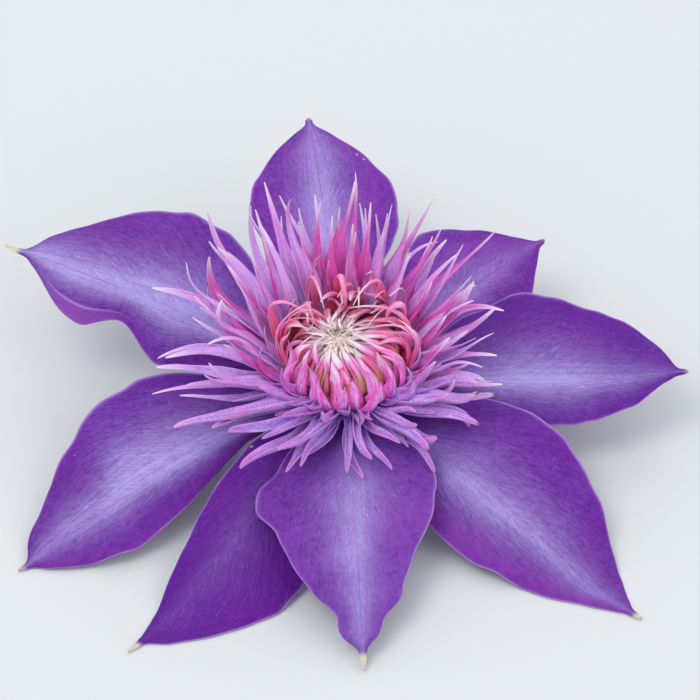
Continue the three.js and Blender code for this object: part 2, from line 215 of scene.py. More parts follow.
# The finer blades in front bend away from each other to the two sides.
FAN_OUT = 42

# The whorls of incurved blades, as in the solids, and their pitch along the blade.
INNER_WHORLS = [
    dict(count=24, start=0, radius=7.7, height=4.8, width=2.4, length=(12.3, 13.7, 15.7),
         pitch=[(0, 15), (0.12, 36), (0.32, 85), (0.52, 118), (0.74, 150), (0.92, 175), (1, 180)],
         front_pitch=[(0, 10), (0.1, 40), (0.24, 92), (0.4, 112), (0.8, 124), (1, 150)],
         inward=0.0, stray=18, sag=1.1, outline=HOOD),
    dict(count=18, start=7, radius=6.6, height=5, width=2, length=(12.8, 13.8, 14.8),
         pitch=[(0, 40), (0.12, 52), (0.31, 98), (0.5, 135), (0.73, 160), (0.93, 180), (1, 184)],
         front_pitch=[(0, 40), (0.12, 62), (0.3, 102), (0.6, 120), (0.85, 140), (1, 165)],
         inward=0.4, stray=8, sag=0.4, outline=WHISKER),
    dict(count=9, start=3, radius=5.4, height=5.2, width=1.8, length=(10.4, 10.8, 11.4),
         pitch=[(0, 55), (0.12, 62), (0.35, 106), (0.59, 139), (0.86, 164), (1, 172)],
         inward=0.9, stray=6, sag=0, outline=WHISKER),
]

# The slender pink blades round the dome, first two rows behind it and one all round, and then the blunt
# straps that fill the front of the fan.
GUARD_WHORLS = [
    dict(count=26, start=7, radius=8.4, height=2.8, width=2.9, length=(0, 19, 23), pitch=(10, 24, 42),
         curl=(0, 8, 6), curl_from=0.3, outline=LANCE, pink=0.6),
    dict(count=29, start=11, radius=9, height=3, width=2.7, length=(0, 15.5, 23), pitch=(30, 50, 60),
         curl=(0, 10, 10), curl_from=0.4, outline=LANCE, pink=0.6),
    dict(count=19, start=5, radius=8.9, height=3.3, width=2.2, length=(8.5, 13.5, 15), pitch=(40, 62, 74),
         curl=(30, 50, 70), curl_from=0.4, outline=LANCE, pink=0.9),
    dict(count=37, start=1, radius=8.7, height=2.6, width=1.3, length=(14.5, 0, 0), pitch=(9, 20, 30),
         curl=(6, 10, 0), curl_from=0.3, outline=STRAP, pink=0.5),
]
# The loops over the dome's rear, the short hooked blades in front of it, and the whiskers that arch over it.
LOOP_WHORLS = [
    dict(count=17, start=16, radius=8.3, height=3.6, width=2, length=(0, 15.5, 22.5), pitch=(80, 82, 88),
         curl=(60, 110, 190), curl_from=0.4, outline=HOOK, inward=0.1),
    dict(count=15, start=2, radius=8.7, height=3.2, width=2.6, length=(11, 9, 0), pitch=(72, 74, 74),
         curl=(50, 40, 0), curl_from=0.3, outline=HOOK, inward=-0.25),
    dict(count=29, start=5, radius=8, height=3.8, width=1.4, length=(0, 16, 18.5), pitch=(84, 82, 84),
         curl=(60, 100, 120), curl_from=0.25, outline=WHISKER, inward=0.32),
]
SHORTEST_GUARD = 7
# The threads inside the dome. The whorls with inward above 1 are its lining, which is red, with painted shade
# in brown at its margins.
THREAD_WHORLS = [
    dict(count=46, start=7, radius=7.1, height=4.9, width=1.05, length=12.6, outline=HOOD, roll=40,
         inward=1.3,
         pitch=[(0, 42), (0.12, 56), (0.31, 94), (0.5, 128), (0.73, 157), (0.93, 176), (1, 180)]),
    dict(count=26, start=8, radius=6.9, height=5, width=0.95, length=13,
         pitch=[(0, 44), (0.12, 56), (0.31, 98), (0.5, 134), (0.73, 160), (0.93, 176), (1, 180)]),
    dict(count=30, start=3, radius=6.2, height=5.2, width=0.85, length=11.4,
         pitch=[(0, 62), (0.15, 74), (0.4, 112), (0.65, 146), (0.9, 166), (1, 172)]),
    dict(count=30, start=5, radius=5.5, height=5, width=1.3, length=9, inward=1.3,
         pitch=[(0, 66), (0.3, 92), (0.6, 124), (0.85, 150), (1, 156)]),
    dict(count=24, start=9, radius=4.6, height=5.6, width=0.7, length=9.6,
         pitch=[(0, 72), (0.3, 96), (0.6, 130), (0.85, 156), (1, 160)]),
    dict(count=16, start=0, radius=2.8, height=5.6, width=0.7, length=8.4,
         pitch=[(0, 84), (0.4, 92), (0.7, 110), (1, 136)]),
]
# The tips that meet in the tuft lie a little off the bloom's axis.
TUFT_DRIFT = Vector((-1.4, -1.2, -0.5))
NO_DRIFT = Vector((0, 0, 0))
# The styles stand on the mound. Those near its middle splay out over the tuft.
STYLE_COUNT = 150
STYLES_WITHIN = 3.2
SPLAYED_WITHIN = 1.9
STYLE_PITCH = 84

# The solids that the blades grow from, the carpels' mound under the tuft and the stalk with its receptacle,
# as rows of radius and height.
DISC_PROFILE = [(0, 0.9), (3.6, 0.9), (8.8, 2.2), (10.2, 2.8), (9.9, 3.5), (0, 3.6)]
RING_PROFILE = [(4.1, 3.9), (8.4, 3.9), (8.7, 4.8), (8, 5.5), (4.6, 5.9), (4.1, 5.3), (4.1, 3.9)]
MOUND_PROFILE = [
    (0, 3.9), (3.5, 3.9), (3.4, 5.3), (3.3, 8.4), (3.2, 10.6), (2.5, 12), (1.3, 12.9), (0, 13.25),
]
STALK_RADIUS = 1.5
RECEPTACLE_RADIUS = 4.5
STALK_PROFILE = [
    (STALK_RADIUS, -CLAW_HEIGHT - 2), (STALK_RADIUS * 0.95, -7), (STALK_RADIUS * 1.1, -4.2),
    (STALK_RADIUS * 1.7, -2.6), (RECEPTACLE_RADIUS * 0.88, -1.6), (RECEPTACLE_RADIUS, -0.9),
    (RECEPTACLE_RADIUS, 0.6), (0, 0.6),
]
RIDGES = 6
# The share of its full thickness that a sheet has at its margins.
THINNEST = 0.15


def along(rows, place):
    """A smooth curve through rows of place and value, read at a place."""
    i = 0
    while i < len(rows) - 2 and place > rows[i + 1][0]:
        i += 1
    x0, y0 = rows[i]
    x1, y1 = rows[i + 1]
    before = rows[max(i - 1, 0)]
    after = rows[min(i + 2, len(rows) - 1)]
    step = x1 - x0
    slope0 = (y1 - before[1]) / (x1 - before[0]) * step
    slope1 = (after[1] - y0) / (after[0] - x0) * step
    s = min(max((place - x0) / step, 0), 1)
    level = y0 * (2 * s**3 - 3 * s**2 + 1) + y1 * (3 * s**2 - 2 * s**3)
    return level + slope0 * (s**3 - 2 * s**2 + s) + slope1 * (s**3 - s**2)


def smooth(start, end, value):
    """0 on start's side, 1 on end's side, and an S curve between them. start may be the higher one."""
    s = min(max((value - start) / (end - start), 0), 1)
    return s * s * (3 - 2 * s)


def backward(azimuth):
    """1 at the bloom's back, 0 at its sides and -1 at its front."""
    return sin(radians(azimuth))


def facing(azimuth, towards):
    """1 for a blade that points towards an azimuth, and -1 for one that points away from it."""
    return cos(radians(azimuth - towards))


def by_bearing(front, side, back, azimuth):
    """A value given at the front, at the sides and at the back, read at an azimuth in degrees."""
    s = backward(azimuth)
    return side + (back - front) / 2 * s + ((back + front) / 2 - side) * s * s


def fanning(azimuth):
    """-1 to the left and 1 to the right, changing quickly at the front."""
    sideways = facing(azimuth, 0)
    return copysign(sqrt(abs(sideways)), sideways)


def draws(seed):
    """Numbers between -0.5 and 0.5, the same in every run and the same as in the solids."""
    state = seed
    while True:
        state = state * 48271 % 2147483647
        yield state / 2147483647 - 0.5


def in_frame(point):
    """A point of the bloom's frame in the part's frame, in metres."""
    x, y, z = point
    turned_y = y * cos(LEAN) - z * sin(LEAN)
    turned_z = y * sin(LEAN) + z * cos(LEAN)
    return Vector((BLOOM_X + x, BLOOM_Y + turned_y, CLAW_HEIGHT + turned_z)) * MM


def on_table(point, level):
    """Lifts a point that would lie lower than a level above the surface that the flower rests on."""
    height = point.dot(TABLE_NORMAL) + CLAW_HEIGHT - level
    return point - TABLE_NORMAL * height if height < 0 else point


def midline(strap, steps):
    """The frames along a strap's midline: its share of the length, point, sideways vector and normal."""
    parts = 3
    heading = radians(strap["azimuth"])
    point = Vector((cos(heading) * strap["radius"], sin(heading) * strap["radius"], strap["height"]))
    sway, sways = strap.get("sway", 0), strap.get("sways", 1)
    frames = []
    for i in range(steps * parts + 1):
        t = i / (steps * parts)
        aim = heading + radians(strap["turn"]) * t * (2 - t) + radians(sway * sin(tau * sways * t))
        pitch = radians(strap["pitch_at"](t))
        ahead = Vector((cos(aim) * cos(pitch), sin(aim) * cos(pitch), sin(pitch)))
        if i % parts == 0:
            level = Vector((-sin(aim), cos(aim), 0))
            upright = ahead.cross(level)
            roll = radians(strap["roll"]) * (strap["roll_at"](t) if "roll_at" in strap else 1)
            side = level * cos(roll) + upright * sin(roll)
            up = upright * cos(roll) - level * sin(roll)
            frames.append((t, point.copy(), side, up))
        point += ahead * strap["length"] / (steps * parts)
    return frames


def gamma_to_linear(colour):
    """A screen colour, as read off a picture, as the linear colour that shaders take."""
    parts = [c / 12.92 if c <= 0.04045 else ((c + 0.055) / 1.055) ** 2.4 for c in colour]
    return (*parts, 1.0)


def measure(name, description, default):
    """A setting that is a length, in metres."""
    return bpy.props.FloatProperty(
        name=name, description=description, default=default, min=0, unit="LENGTH", precision=5
    )


def strength(name, description, default):
    """A setting that is a plain number."""
    return bpy.props.FloatProperty(name=name, description=description, default=default, min=0)


def tint(name, description, default):
    """A setting that is a screen colour."""
    return bpy.props.FloatVectorProperty(
        name=name, description=description, default=default, min=0, max=1, subtype="COLOR_GAMMA"
    )


class Value:
    """A socket of a material's maths, which Python's own operators work on."""

    def __init__(self, finish, socket):
        self.finish = finish
        self.socket = socket

    def maths(self, operation, *others):
        inputs = dict(enumerate((self, *others)))
        return self.finish.node("ShaderNodeMath", {"operation": operation}, inputs)

    def __add__(self, other):
        return self.maths("ADD", other)

    __radd__ = __add__

    def __mul__(self, other):
        return self.maths("MULTIPLY", other)

    def __sub__(self, other):
        return self.maths("SUBTRACT", other)

    def __rsub__(self, other):
        return self.maths("MULTIPLY", -1.0).maths("ADD", other)

    def __truediv__(self, other):
        return self.maths("DIVIDE", other)

    def __abs__(self):
        return self.maths("ABSOLUTE")

    def bell(self, width):
        """1 where the value is 0, falling off to both sides over a width."""
        scaled = self / width
        return (scaled * scaled * -1.0).maths("EXPONENT")

    def step(self, start, end):
        """0 on start's side, 1 on end's side, and an S curve between them. start may be the higher one."""
        settings = {"interpolation_type": "SMOOTHSTEP"}
        inputs = {"Value": self, "From Min": start, "From Max": end}
        return self.finish.node("ShaderNodeMapRange", settings, inputs)


class Finish:
    """A material on one principled shader, whose nodes all come from one method."""

    def __init__(self, name, **constants):
        self.material = bpy.data.materials.new(name)
        self.material.use_nodes = True
        self.nodes = self.material.node_tree.nodes
        self.links = self.material.node_tree.links
        self.nodes.clear()
        self.shader = self.nodes.new("ShaderNodeBsdfPrincipled")
        output = self.nodes.new("ShaderNodeOutputMaterial")
        self.links.new(self.shader.outputs[0], output.inputs["Surface"])
        self.set(**constants)

    def node(self, kind, settings=None, inputs=None, output=0):
        node = self.nodes.new(kind)
        for key, value in (settings or {}).items():
            setattr(node, key, value)
        for key, value in (inputs or {}).items():
            self.feed(node.inputs[key], value)
        return Value(self, node.outputs[output])

    def feed(self, socket, value):
        if isinstance(value, Value):
            self.links.new(value.socket, socket)
        else:
            socket.default_value = value

    def set(self, **sockets):
        for socket, value in sockets.items():
            self.feed(self.shader.inputs[socket.replace("_", " ")], value)

    def mix(self, factor, first, second):
        """A colour between two, which are screen colours or sockets."""
        ends = [c if isinstance(c, Value) else gamma_to_linear(c) for c in (first, second)]
        settings = {"data_type": "RGBA", "clamp_factor": True}
        return self.node("ShaderNodeMix", settings, {0: factor, 6: ends[0], 7: ends[1]}, 2)

    def layers(self, body, *layers):
        """A colour with others laid over it in turn, each with how much of it shows."""
        for factor, colour in layers:
            body = self.mix(factor, body, colour)
        return body

    def attributes(self, *names):
        return [self.node("ShaderNodeAttribute", {"attribute_name": name}, output="Fac") for name in names]

    def across_and_along(self):
        """The place on a blade: from -1 to 1 across it, and from 0 at its root to 1 at its tip."""
        blade = self.node("ShaderNodeUVMap", {"uv_map": "blade"})
        split = self.node("ShaderNodeSeparateXYZ", inputs={0: blade})
        across = split * 2.0 - 1.0
        return across, Value(self, split.socket.node.outputs["Y"])

    def place(self):
        return self.node("ShaderNodeTexCoord", output="Object")

    def noise(self, vector, scale, detail=3.0, roughness=0.5):
        inputs = {"Vector": vector, "Scale": scale, "Detail": detail, "Roughness": roughness}
        return self.node("ShaderNodeTexNoise", inputs=inputs)

    def strokes(self, x, y, z, detail, roughness):
        """Noise that is read at three values, which stretch it into strokes."""
        vector = self.node("ShaderNodeCombineXYZ", inputs={0: x, 1: y, 2: z})
        return self.noise(vector, 1.0, detail, roughness)

    def bump(self, height, distance, strength=1.0):
        inputs = {"Height": height, "Distance": distance, "Strength": strength}
        self.set(Normal=self.node("ShaderNodeBump", inputs=inputs))


def in_scene(name, data):
    """A new object in the scene, with its data."""
    made = bpy.data.objects.new(name, data)
    bpy.context.scene.collection.objects.link(made)
    return made


def from_bmesh(name, bm, *materials):
    """The object that a bmesh becomes, with its materials."""
    mesh = bpy.data.meshes.new(name)
    bm.to_mesh(mesh)
    bm.free()
    for material in materials:
        mesh.materials.append(material)
    return in_scene(name, mesh)


def new_piece(name, mesh_maker, materials, slot, nodes, thickness=0.0):
    """A finished piece from a function that fills a bmesh, in the place of some nodes of the solids."""
    bm = bmesh.new()
    mesh_maker(bm)
    piece = from_bmesh(name, bm, *materials)
    for polygon in piece.data.polygons:
        polygon.use_smooth = True
    if thickness:
        wall = piece.modifiers.new("thickness", "SOLIDIFY")
        wall.thickness = thickness * MM
        wall.offset = 0
        wall.material_offset = len(materials) - 1
        wall.vertex_group = piece.vertex_groups.new(name="thickness").name
        wall.thickness_vertex_group = THINNEST
    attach(piece, BODY)
    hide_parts(*nodes)


def sheet_into(bm, columns, rows, place_at, share_at, full_at, **marks):
    """Adds a grid to a bmesh and bends it.

    place_at gives the point at a place across and along the sheet, share_at spaces its rows, and full_at
    says how much of its full thickness it has at a place. Each mark becomes an attribute of its points.
    """
    weights = bm.verts.layers.deform.verify()
    uv = bm.loops.layers.uv.get("blade") or bm.loops.layers.uv.new("blade")
    layers = {name: bm.verts.layers.float.get(name) or bm.verts.layers.float.new(name) for name in marks}
    made = bmesh.ops.create_grid(bm, x_segments=columns, y_segments=rows, size=1)["verts"]
    spots = {}
    for vert in made:
        across, share = -vert.co.x, share_at((vert.co.y + 1) / 2)
        spots[vert] = ((across + 1) / 2, share)
        vert.co = in_frame(place_at(across, share))
        vert[weights][0] = full_at(across, share)
        for name, value in marks.items():
            vert[layers[name]] = value
    faces = {face for vert in made for face in vert.link_faces}
    for face in faces:
        for loop in face.loops:
            loop[uv].uv = spots[loop.vert]


def core_into(bm, profile, steps=48):
    """Adds a turned core round the bloom's axis to a bmesh, from rows of radius and height."""
    before = set(bm.verts)
    verts = [bm.verts.new((r, 0, z)) for r, z in profile]
    edges = [bm.edges.new(pair) for pair in zip(verts, verts[1:])]
    geometry = verts + edges
    bmesh.ops.spin(bm, geom=geometry, cent=(0, 0, 0), axis=(0, 0, 1), angle=tau, steps=steps, use_merge=True)
    made = [v for v in bm.verts if v not in before]
    bmesh.ops.remove_doubles(bm, verts=made, dist=0.001)
    made = [v for v in bm.verts if v not in before]
    faces = list({f for v in made for f in v.link_faces})
    bmesh.ops.recalc_face_normals(bm, faces=faces)
    return made


# Tepals


def tepal_strap(tepal):
    """A tepal as a strap that midline can follow."""
    claw, middle, tip = tepal["pitch"]
    return {
        **tepal,
        "radius": CLAW_START - CLAW_BURIED,
        "length": tepal["length"] + CLAW_BURIED,
        "pitch_at": lambda t: claw * (1 - t) ** 2 + 2 * middle * t * (1 - t) + tip * t * t,
        "roll_at": lambda t: sin(pi * t**0.7),
    }


def tepal_point(tepal, settings, frames, q, t):
    """A point of a tepal's middle layer, at a place across and along it."""
    _, point, side, up = frames[round(t * TEPAL_ROWS)]
    left = q > 0
    hand = 0 if left else 1
    phase = tau * tepal["phase"]
    middle = sin(pi * t)
    edge = smooth(0.1, 0.3, t) * (1 - smooth(0.9, 0.97, t))

    stretch = log(0.5) / log(tepal["widest"][hand])
    lobe = along(tepal["lobes"][hand], t) if "lobes" in tepal else 1
    half = (tepal["left"] if left else tepal["right"]) * along(TEPAL_OUTLINE, t**stretch) * lobe
    slender = SLENDER_TIP * (1 - smooth(tepal["nib"], 1, t) * NIB_TAPER)
    half += (min(slender, half) - half) * smooth(tepal["nib"] - NIB_START, tepal["nib"], t)
    long, short = OUTLINE_WAVES
    uneven = 0.01 * sin(tau * long * t + phase + 4 * hand) + 0.006 * sin(tau * short * t + 2 * phase)
    half *= 1 + uneven * edge

    fall = -tepal["camber"][hand] * half * q * q
    ripple = tepal["wave"] * q * q * middle * sin(tau * (RIPPLES * t + tepal["phase"]) + hand * 2)
    fitful = 0.5 + 0.5 * sin(tau * FITS * t + 5 * phase + hand)
    waves = sin(tau * RUFFLES * t + 3 * phase + 2.1 * hand) * fitful
    ruffle = settings.ruffle / MM * abs(q) ** 5 * edge * waves
    side_groove = exp(-(((abs(q) - SIDE_VEIN) / SIDE_VEIN_WIDTH) ** 2))
    groove = exp(-((q / CHANNEL_WIDTH) ** 2)) + 0.5 * side_groove
    channel = -settings.channel / MM * groove * middle
    keel = KEEL_HEIGHT * exp(-((q / KEEL_WIDTH) ** 2)) * middle
    quilting = settings.quilting / MM * sin(tau * QUILTS * (t - abs(q) / VEIN_SLANT)) * abs(q) * edge
    lip = 0.0
    if "lip" in tepal and left:
        start, end = tepal["lip"]
        bent = sin(pi * min(max((t - start) / (end - start), 0), 1)) ** 2
        lip = -LIP_FALL * smooth(*LIP_EDGES, q) * bent
    rise = fall + ripple + ruffle + channel + keel - SUNK * middle + quilting + lip
    return on_table(point + side * (q * half) + up * rise, settings.thickness / MM / 2)


def tepal_finish(settings, tepal):
    """A tepal's upper face: violet with a feathered pale bar, slanting veins, a thin rim and a cream tip."""
    finish = Finish(
        "petal_" + tepal["name"], Roughness=0.5, Subsurface_Weight=0.12, Subsurface_Scale=0.002,
        Subsurface_Radius=(0.6, 0.3, 1.0), Specular_IOR_Level=0.14, Sheen_Weight=0.05, Sheen_Roughness=0.4,
        Sheen_Tint=gamma_to_linear((0.78, 0.72, 0.98)),
    )
    phase, warmth, lasting = tepal["phase"], tepal["warmth"], tepal["lasting"]
    across, share = finish.across_and_along()
    out = abs(across)
    slanting = share - out / VEIN_SLANT
    place = finish.place()
    cloudy = finish.noise(place, 60.0, 4.0, 0.6)
    grain = finish.noise(place, 2600.0, 2.0, 0.7)
    pebbles = finish.noise(place, 1000.0, 2.0, 0.6)
    feather = finish.strokes(slanting * 120.0, across * 5.0, phase, 5.0, 0.66)
    sheen_strokes = finish.strokes(slanting * 170.0, across * 12.0, phase + 3.0, 2.0, 0.6)
    crossing = finish.strokes(share * 34.0, across * 2.6, phase, 3.0, 0.6)
    lengthwise = finish.strokes(across * 30.0, share * 6.0, phase, 5.0, 0.68)
    blush = finish.strokes(share * 5.0, across * 1.2, phase * 9.0, 4.0, 0.6)
    wander = finish.strokes(share * 4.0, phase * 7.0, 0.0, 2.0, 0.5)

    # The violet, which is lighter and deeper in patches, and rosy in some.
    deep = finish.mix(warmth, settings.blue_violet, settings.magenta_violet)
    light = finish.mix(warmth, settings.light_blue_violet, settings.light_magenta_violet)
    granular = grain - 0.5 + (pebbles - 0.5) * 0.8
    lightness = (cloudy - 0.5) * 1.3 + (feather - 0.5) * 0.7 + granular + (crossing - 0.5) * 0.5
    flush = settings.rosy_violet if warmth > 0.55 else settings.magenta_violet
    rosy = (across * tepal["rosy"] + (blush - 0.5) * 0.8).step(0.25, 0.8)
    body = finish.layers(
        finish.mix(lightness + (0.62 - 0.5 * tepal["depth"]), deep, light),
        (blush.step(0.46, 0.66) * (0.3 + 0.5 * warmth), flush),
        (rosy * 0.7, settings.rosy_violet),
        (cloudy * 2.0 * tepal["haze"], settings.bar),
    )

    # The pale bar, which wanders a little to the sides and breaks up into streaks.
    shifted = across + (wander - 0.5) * 0.3 - tepal["shift"]
    tipward = share.step(0.68, 0.95) * lasting
    core = shifted.bell((wander - 0.5) * 0.2 + tipward * 0.15 + 0.2)
    wide = shifted.bell(tipward * 0.3 + tepal["spread"]) * 0.6
    reach = share.step(0.1, 0.4) * (1.0 - share.step(0.55, 0.96) * (0.7 - 0.45 * lasting))
    bar = ((core * 0.5 + wide * 1.2) * reach * tepal["bar"]).maths("MINIMUM", 1.0)
    breakup = (lengthwise - 0.5) * 1.4 + (feather - 0.5) * 0.6 + (cloudy - 0.5) * 0.9 + granular * 0.5
    beside = 1.0 - wide * 1.5
    veins = across.bell(0.014) + (out - SIDE_VEIN).bell(0.014) * 0.6
    rim = out.step(0.94, 0.98) * cloudy * 0.2 + out.step(0.972, 0.988) * (cloudy * 0.6 + grain * 0.4)
    body = finish.layers(
        body,
        (bar * (breakup * 0.9 + 0.8), settings.bar),
        # Painted sheen: fine pale strokes along the slanting veins, strongest on the bar, stand in for the
        # glint on the tepal's velvety surface.
        (sheen_strokes.step(0.52, 0.7) * (bar * 0.4 + 0.04), settings.painted_sheen),
        (veins * share.step(0.5, 0.85) * 0.5, settings.vein_line),
        (feather.step(0.56, 0.7) * (wide * 0.4 * tepal["bar"] + 0.03), settings.bar),
        (feather.step(0.47, 0.34) * 0.38 * beside, settings.dark),
        (pebbles.step(0.5, 0.3) * 0.25 * beside, settings.dark),
        (rim, settings.rim),
    )
    if "lip" in tepal:
        start, end = tepal["lip"]
        window = (share - (start + end) / 2).bell((end - start) / 3)
        body = finish.layers(
            body,
            (across.step(0.77, 0.8) * window * 0.55, settings.rolled),
            ((across - 0.79).bell(0.014) * window * 0.7, settings.rim),
        )
    dusty = finish.noise(place, 90.0, 1.0).step(0.67, 0.71)
    specks = finish.noise(place, 1900.0, 0.0).step(0.81, 0.84) * dusty
    nib = share.step(tepal["nib"] - 0.01, tepal["nib"] + 0.015)
    body = finish.layers(body, (specks * 0.7, settings.tip), (nib * tepal["cream"], settings.tip))
    finish.set(Base_Color=body, Roughness=feather * 0.2 + 0.5)
    finish.bump(feather * 0.4 + grain * 0.4 + pebbles * 0.5 + lengthwise * 0.3, 0.0002)
    return finish.material


def tepal_under_finish(settings):
    """A tepal's underside: paler, with three green-white ribs that run from claw to tip."""
    finish = Finish("petal_underside", Roughness=0.6, Subsurface_Weight=0.1, Subsurface_Scale=0.002)
    across, share = finish.across_and_along()
    out = abs(across)
    feather = finish.strokes((share - out / VEIN_SLANT) * 75.0, across * 3.0, 0.0, 4.0, 0.6)
    ribs = across.bell(0.05) + (out - SIDE_VEIN).bell(0.04) * 0.7
    body = finish.layers(
        finish.mix(feather, settings.under, settings.under_light),
        ((ribs * 0.6 + across.bell(0.24) * 0.5) * (1.0 - share.step(0.8, 1.0) * 0.6), settings.rib),
        (share.step(0.955, 0.985) * 0.6, settings.tip),
    )
    finish.set(Base_Color=body)
    finish.bump(feather * 0.5 + ribs, 0.00018, 0.8)
    return finish.material


class TepalSettings(bpy.types.PropertyGroup):
    thickness: measure("Thickness", "Thickness of a tepal", 0.00055)
    channel: measure("Channel", "Depth of the midline's channel", 0.00015)
    quilting: measure("Quilting", "Height of the relief between veins", 0.00005)
    ruffle: measure("Ruffle", "Height of the waves in the margin", 0.00045)
    blue_violet: tint("Blue violet", "Deepest colour of a cool tepal", (0.31, 0.05, 0.52))
    magenta_violet: tint("Magenta violet", "Deepest colour of a warm tepal", (0.42, 0.08, 0.54))
    light_blue_violet: tint("Light blue violet", "Light colour of a cool tepal", (0.43, 0.22, 0.65))
    light_magenta_violet: tint("Light magenta violet", "Light colour of a warm tepal", (0.53, 0.27, 0.68))
    rosy_violet: tint("Rosy violet", "Colour of a tepal's rosy patches", (0.50, 0.18, 0.62))
    dark: tint("Dark striation", "Colour of the finest dark lines", (0.26, 0.05, 0.49))
    bar: tint("Bar", "Colour of the pale bar", (0.67, 0.61, 0.84))
    # Colour of the painted sheen on the tepals' velvety surface.
    painted_sheen: tint("Hair", "Colour of the fine light lines", (0.76, 0.72, 0.92))
    vein_line: tint("Vein line", "Colour of the three lines near the tip", (0.42, 0.20, 0.64))
    rim: tint("Rim", "Colour of the margin", (0.74, 0.58, 0.88))
    rolled: tint("Rolled margin", "Colour of a margin that is rolled under", (0.66, 0.36, 0.76))
    tip: tint("Tip", "Colour of the tip and of the dust specks", (0.93, 0.89, 0.76))
    under: tint("Underside", "Colour of the underside", (0.46, 0.34, 0.70))
    under_light: tint("Light underside", "Light colour of the underside", (0.64, 0.54, 0.82))
    rib: tint("Rib", "Colour of the ribs underneath", (0.74, 0.76, 0.66))


class FLOWER_OT_tepals(bpy.types.Operator):
    """Makes the eight tepals"""

    bl_idname = "flower.tepals"
    bl_label = "Tepals"

    def execute(self, context):
        settings = context.scene.flower_tepals
        underside = tepal_under_finish(settings)
        for row in TEPALS:
            tepal = {**PLAIN_TEPAL, **row}
            frames = midline(tepal_strap(tepal), TEPAL_ROWS)

            def place_at(q, t, tepal=tepal, frames=frames):
                return tepal_point(tepal, settings, frames, q, t)

            def make(bm, place_at=place_at):
                sheet_into(bm, TEPAL_COLUMNS, TEPAL_ROWS, place_at, lambda row: row, lambda q, t: 1 - q**4)

            materials = [tepal_finish(settings, tepal), underside]
            name = tepal["name"] + "_petal"
            new_piece(name, make, materials, "tepal", [tepal["name"]], settings.thickness / MM)
        return {"FINISHED"}


# Staminodes


def blade_into(bm, blade, columns=6, rows=18):
    """Adds one narrow blade to a bmesh: a channelled strip whose rows lie closer together near its tip."""
    frames = midline(blade, BLADE_FRAMES)
    blunt = blade.get("blunt", 0)
    drift = TUFT_DRIFT if blade.get("to_tuft") else NO_DRIFT

    def half_at(t):
        blunt_half = along(blade.get("blunt_outline", STRAP), t)
        outline = along(blade["outline"], t) * (1 - blunt) + blunt_half * blunt
        lumps = blade.get("lumpy", 0) * sin(LUMP_RATE * t + LUMP_SHIFT * blade.get("lumps", 0))
        return blade["half"] * outline * (1 + lumps)

    def place_at(q, t):
        _, point, side, up = frames[round(t * BLADE_FRAMES)]
        half = half_at(t)
        return point + drift * smooth(0.4, 1, t) + side * (q * half) + up * (blade["cup"] * half * q * q)

    def share_at(row):
        return round((1 - (1 - row) ** 1.35) * BLADE_FRAMES) / BLADE_FRAMES

    def full_at(q, t):
        return (1 - smooth(0.45, 1, t)) * (1 - 0.6 * q * q)

    sheet_into(bm, columns, rows, place_at, share_at, full_at, **blade.get("marks", {}))


def blades_of(whorls, make, swaying, *seeds):
    """The blades of some whorls, each made from its whorl, its azimuth and its own draws.

    swaying is the share of the gap between two blades that one may stray by. seeds are pairs of a seed and
    the number of draws that each blade takes from it.
    """
    sources = [(draws(seed), count) for seed, count in seeds]
    for whorl in whorls:
        for i in range(whorl["count"]):
            sway, *drawn = [next(source) for source, count in sources for _ in range(count)]
            azimuth = whorl["start"] + 360 / whorl["count"] * (i + swaying * sway)
            blade = make(whorl, azimuth, *drawn)
            if blade:
                yield {**whorl, "azimuth": azimuth, **blade}


# The blades' makers. A draw lies between -0.5 and 0.5, so the number beside one says over how many degrees,
# or over what share, the blades differ from each other.


def dry_share(draw, azimuth):
    """How far down a blade has dried, in tenths of its length: a few tips, and one blade nearly whole."""
    if 168 < azimuth < 174 and draw > 0:
        return 7.5
    return 0.6 if 290 < azimuth < 345 and draw > 0.15 else 0.0


def outer_blade(whorl, azimuth, reach, tilt, curl, bias, hook, wander, wave, tone, cup, dry):
    """A blade of the fan: long, slender and upright behind, and short, blunt and level in front."""
    front = smooth(0.15, 0.85, -backward(azimuth))
    steeper = STEEPER * max(facing(azimuth, STEEPER_TOWARDS), 0)
    pitch = by_bearing(*whorl["pitch"], azimuth) + 12 * tilt + steeper
    bend = by_bearing(*whorl["bend"], azimuth) + 16 * curl
    rows = [(0, min(pitch, LEAVING_PITCH)), (LEAVING_SHARE, pitch), (1, pitch + bend)]
    longer = 1 + LONGER * facing(azimuth, LONGER_TOWARDS)
    length = by_bearing(*whorl["length"], azimuth) * (1 + 0.24 * reach) * longer
    blunt = max(front, 0.3 * facing(azimuth, 0) ** 2)

    def pitch_at(t):
        return along(rows, t) + 300 * hook * abs(hook) * smooth(0.55, 1, t) + 20 * wave * sin(tau * 1.2 * t)

    return dict(
        length=length * 1.03,
        half=whorl["width"] / 2 * by_bearing(0.44, 0.9, 0.96, azimuth) * (1 + 0.3 * cup),
        cup=0.7 + 0.6 * cup + 1.1 * front, turn=24 * bias + FAN_OUT * front * fanning(azimuth),
        roll=50 * bias, outline=LANCE, blunt_outline=STRAP, blunt=blunt, lumpy=LUMP_DEPTH * (1 - blunt),
        lumps=wander, pitch_at=pitch_at, sway=40 * wander, sways=0.8,
        marks=dict(tone=tone, front=front, pink=whorl["pink"] + 0.5 * tone, dry=dry_share(dry, azimuth)),
    )


